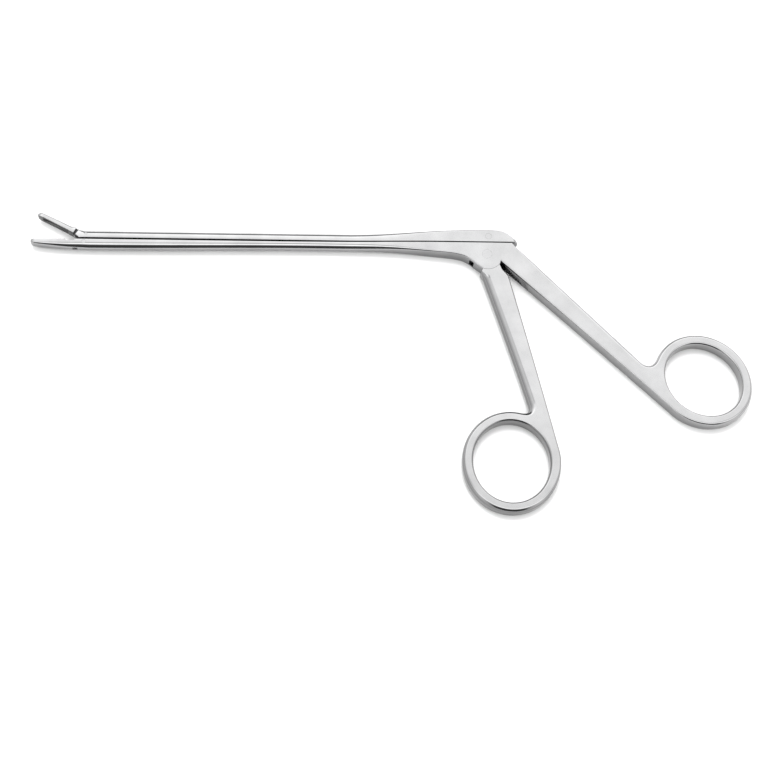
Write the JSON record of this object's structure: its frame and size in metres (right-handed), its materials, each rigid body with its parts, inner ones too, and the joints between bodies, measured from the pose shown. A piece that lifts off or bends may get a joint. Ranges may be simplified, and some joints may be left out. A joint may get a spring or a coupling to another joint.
{
  "type": "rongeur",
  "caption": "Slim ring-handled rongeur with a sliding shaft and serrated cup jaws, for biting off small pieces of tissue through a narrow opening.",
  "frame": {"origin": "middle of the footprint, on the surface that the instrument lies on", "axes": "+X from the jaws towards the handles along the shaft, +Y towards the sliding shaft's side, +Z out of the instrument's side"},
  "size_m": [0.22, 0.0954, 0.005],
  "materials": {
    "satin_steel": "satin",
    "jaw_steel": "satin",
    "handle_steel": "satin",
    "pin_steel": "satin"
  },
  "bodies": {
    "shank": {"fixed_shank": "satin_steel", "handle_pivot_pin": "pin_steel", "jaw_pivot_pin": "pin_steel"},
    "slide": {"sliding_shaft": "satin_steel", "drive_pin": "pin_steel", "jaw_link_pin": "pin_steel"},
    "jaw": {"upper_jaw": "jaw_steel"},
    "handle": {"front_handle": "handle_steel"}
  },
  "joints": [
    {"name": "handle_hinge", "type": "hinge", "parent": "shank", "child": "handle", "pos_m": [0.03002, 0.03514, 0.0025], "axis": [0, 0, 1], "range_deg": [0, 11.76]},
    {"name": "shaft_slide", "type": "slide", "parent": "shank", "child": "slide", "axis": [-1, 0, 0], "range_m": [0, 0.00125]},
    {"name": "jaw_hinge", "type": "hinge", "parent": "shank", "child": "jaw", "pos_m": [-0.09378, 0.03804, 0.0025], "axis": [0, 0, 1], "range_deg": [0, 28]}
  ],
  "couplings": [
    {"joint": "shaft_slide", "follows": "handle_hinge", "m_per_rad": 0.0060713},
    {"joint": "jaw_hinge", "follows": "handle_hinge", "ratio": 2.38}
  ]
}
